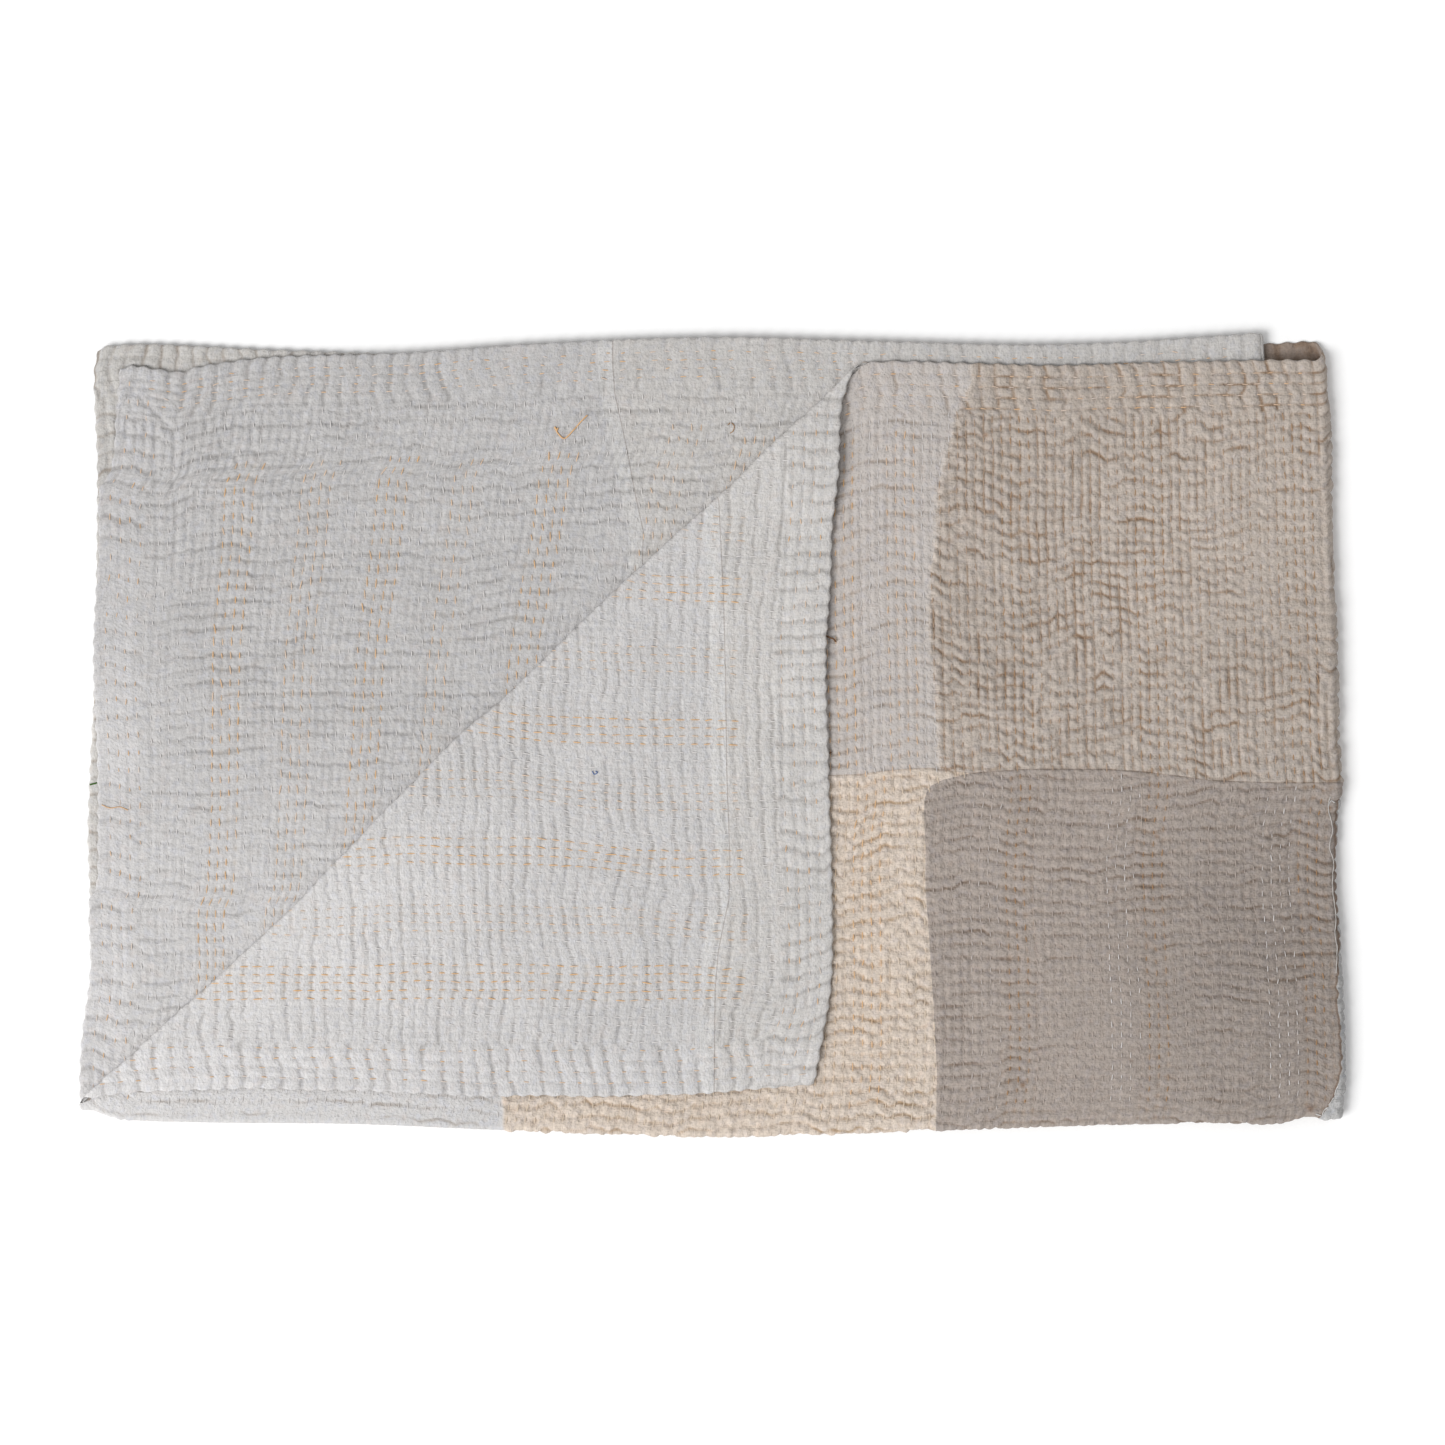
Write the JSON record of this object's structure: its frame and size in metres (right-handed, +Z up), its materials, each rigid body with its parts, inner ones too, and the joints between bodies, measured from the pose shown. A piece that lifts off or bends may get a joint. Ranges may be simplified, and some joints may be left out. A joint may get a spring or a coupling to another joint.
{
  "type": "kantha quilt",
  "caption": "Hand-stitched kantha quilt of patched cotton with an off-white back, folded in four, one corner turned back.",
  "frame": {"origin": "under the middle of the folded quilt, on the surface that it lies on", "axes": "+X along the bottom fold towards the right fold, +Y from the bottom fold towards the hems, +Z up"},
  "size_m": [1.1987, 0.76, 0.0296],
  "materials": {
    "quilted_cotton": "matt washed cotton with running stitch"
  },
  "bodies": {
    "root": {"quilt": "quilted_cotton"}
  },
  "joints": []
}
